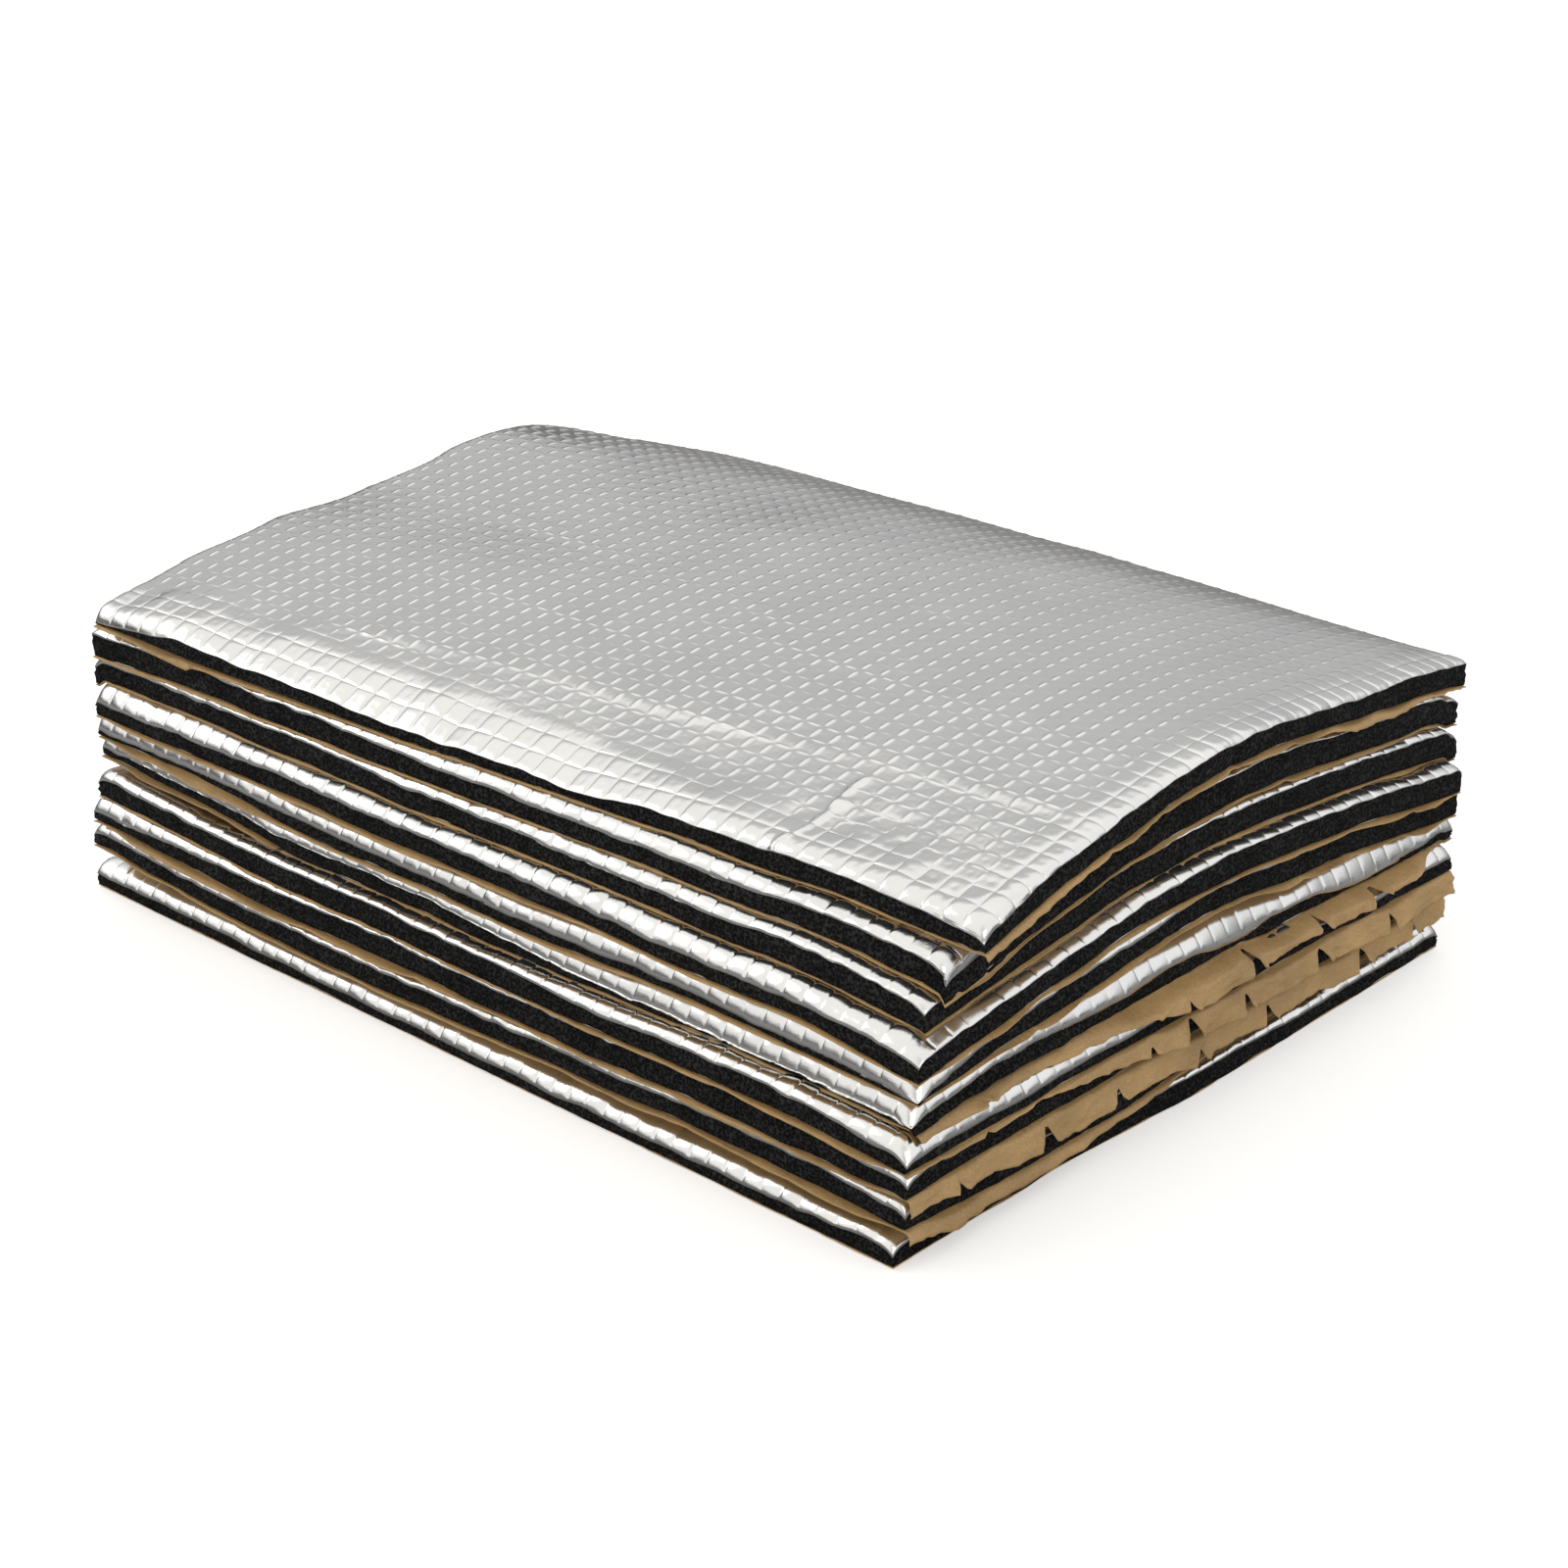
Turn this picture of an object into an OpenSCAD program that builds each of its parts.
// Stack of foil-faced, self-adhesive, closed-cell foam sheets.
// Ten loose rectangular sheets lie foil side up. Each has four layers, from the
// top down: aluminium facing (modelled smooth), foam core, adhesive film and a
// kraft release liner. The bottom sheet lies flat, and the ones above bow up a
// little more each, with air between them.
// +Z is up, +X runs along the long side, and the origin is the centre of the
// bottom sheet's underside. Units are millimetres.

/* [Sheet] */
// Length of one sheet, along X
sheet_length = 400; // [250:10:600]
// Width of one sheet, along its surface
sheet_width = 300; // [200:5:400]
// Thickness of the closed-cell foam core
foam_thickness = 9; // [5:0.5:20]
// Thickness of the embossed aluminium facing, over its pillows
foil_thickness = 0.3; // [0.1:0.05:0.6]
// Thickness of the adhesive film
adhesive_thickness = 0.15; // [0.1:0.05:0.3]
// Thickness of the kraft release liner
liner_thickness = 0.2; // [0.1:0.05:0.4]
// Clearance between the adhesive and its liner
peel_gap = 0.05; // [0.02:0.01:0.2]

/* [Stack] */
// Height that the top sheet bows up across its width
bow = 20; // [0:1:30]
// Least air gap between one sheet and the next, at the edges
air_gap = 1.5; // [0.9:0.1:3]
// Direction of the bow's ridge, in degrees from the long side
ridge_turn = 3; // [0:0.5:4]
// How untidily the sheets lie, where 0 is a square stack
scatter = 1; // [0:0.1:1]

/* [Colours] */
// Colour of the embossed facing
foil_colour = "silver"; // [silver, lightgray, gainsboro]
// Colour of the foam core
foam_colour = "#1c1c1e"; // [#1c1c1e, #2b2b2e, #4a4a4d]
// Colour of the adhesive film
adhesive_colour = "#cfc8ae"; // [#cfc8ae, #e4e0d2]
// Colour of the release liner
liner_colour = "#b98a55"; // [#b98a55, #c9a06c, #9c7040]

/* [Hidden] */

// How each sheet lies on the pile, from the bottom sheet up:
// [shift along X, shift along Y, turn in degrees]
LAY = [
    [0, 0, 0],
    [4, -2, 0.4],
    [6, -3, 0.3],
    [9, -3, -0.4],
    [5, 3, -0.2],
    [8, 0, 0.1],
    [10, -2, 0],
    [4, 4, 0.5],
    [3, 6, 1.7],
    [5, 9, 3.5]
];

// heights inside a sheet, measured from its underside along the normal
adhesive_bottom = liner_thickness + peel_gap;
foam_bottom = adhesive_bottom + adhesive_thickness;
foil_bottom = foam_bottom + foam_thickness;
sheet_thickness = foil_bottom + foil_thickness;

// The bow's profile falls from the ridge as a mix of square and fourth-power
// curves, then carries on straight past the sheet's edges.
half_width = sheet_width / 2;
fourth_share = 0.3;
square_share = 1 - fourth_share;
edge_rate = 2 * square_share + 4 * fourth_share;
// about half the mean square of the profile's rate of fall
narrowing = 0.77;

// the slab runs on far enough to cover any shifted and turned sheet
slab_reach = half_width + 20 + sheet_length * 0.08;
slab_length = sheet_length * 1.5;
slab_strips = 32;

// how far a trimming block runs below the floor and above its sheet
trim_below = 5;
trim_above = 15;

// In the functions and modules below, n counts sheets from 1 at the bottom.

// rise of sheet n's middle over its edges; the bottom sheet is flat
function rise(n) = bow * (n - 1) / (len(LAY) - 1);

// share of the rise lost at a distance t from the ridge, t = 1 at the edge
function fall(t) = abs(t) <= 1
    ? square_share * pow(t, 2) + fourth_share * pow(t, 4)
    : 1 + edge_rate * (abs(t) - 1);
function fall_rate(t) = abs(t) <= 1
    ? 2 * square_share * t + 4 * fourth_share * pow(t, 3)
    : edge_rate * sign(t);

// steepest slope of sheet n, at its long edges
function edge_slope(n) = rise(n) * edge_rate / half_width;

// width of sheet n seen from above: a bowed sheet covers a little less floor
function plan_width(n) = sheet_width * (1 - narrowing * pow(rise(n) / half_width, 2));

// height of sheet n's underside at its long edges: every sheet below adds
// its thickness, measured upright on the slope, and the air gap
function base(n) = n <= 1 ? 0
    : base(n - 1) + sheet_thickness * sqrt(1 + pow(edge_slope(n - 1), 2)) + air_gap;

// [across, up] point of sheet n: starts on the underside at distance y from
// the ridge, then goes the given height along the normal
function spot(n, y, height) =
    let (t = y / half_width,
         slope = -rise(n) * fall_rate(t) / half_width,
         stretch = sqrt(1 + slope * slope))
    [y - height * slope / stretch,
     base(n) + rise(n) * (1 - fall(t)) + height / stretch];

// distance from the ridge of strip boundary i
function station(i) = -slab_reach + 2 * slab_reach * i / slab_strips;

// upright block with sheet n's outline
module block(n, bottom, height) {
    lay = LAY[n - 1] * scatter;
    translate([lay.x, lay.y, bottom])
        rotate([0, 0, lay.z])
            translate([-sheet_length / 2, -plan_width(n) / 2, 0])
                cube([sheet_length, plan_width(n), height]);
}

// bowed slab between two heights of sheet n, wider and longer than the sheet
module slab(n, low, high) {
    rotate([0, 0, ridge_turn])
        translate([-slab_length / 2, 0, 0])
            rotate([90, 0, 90])
                linear_extrude(height = slab_length)
                    polygon(concat(
                        [for (i = [0:slab_strips]) spot(n, station(i), low)],
                        [for (i = [slab_strips:-1:0]) spot(n, station(i), high)]));
}

// one layer of sheet n: a plain block if flat, a trimmed slab if bowed
module layer(n, low, high) {
    if (rise(n) == 0)
        block(n, base(n) + low, high - low);
    else
        intersection() {
            slab(n, low, high);
            block(n, -trim_below,
                  trim_below + base(n) + rise(n) + sheet_thickness + trim_above);
        }
}

module liner(n) { color(liner_colour) layer(n, 0, liner_thickness); }
module adhesive(n) { color(adhesive_colour) layer(n, adhesive_bottom, foam_bottom); }
module foam(n) { color(foam_colour) layer(n, foam_bottom, foil_bottom); }
module foil(n) { color(foil_colour) layer(n, foil_bottom, sheet_thickness); }

liner(1);  // liner_01
adhesive(1);  // adhesive_01
foam(1);  // foam_01
foil(1);  // foil_01
liner(2);  // liner_02
adhesive(2);  // adhesive_02
foam(2);  // foam_02
foil(2);  // foil_02
liner(3);  // liner_03
adhesive(3);  // adhesive_03
foam(3);  // foam_03
foil(3);  // foil_03
liner(4);  // liner_04
adhesive(4);  // adhesive_04
foam(4);  // foam_04
foil(4);  // foil_04
liner(5);  // liner_05
adhesive(5);  // adhesive_05
foam(5);  // foam_05
foil(5);  // foil_05
liner(6);  // liner_06
adhesive(6);  // adhesive_06
foam(6);  // foam_06
foil(6);  // foil_06
liner(7);  // liner_07
adhesive(7);  // adhesive_07
foam(7);  // foam_07
foil(7);  // foil_07
liner(8);  // liner_08
adhesive(8);  // adhesive_08
foam(8);  // foam_08
foil(8);  // foil_08
liner(9);  // liner_09
adhesive(9);  // adhesive_09
foam(9);  // foam_09
foil(9);  // foil_09
liner(10);  // liner_10
adhesive(10);  // adhesive_10
foam(10);  // foam_10
foil(10);  // foil_10
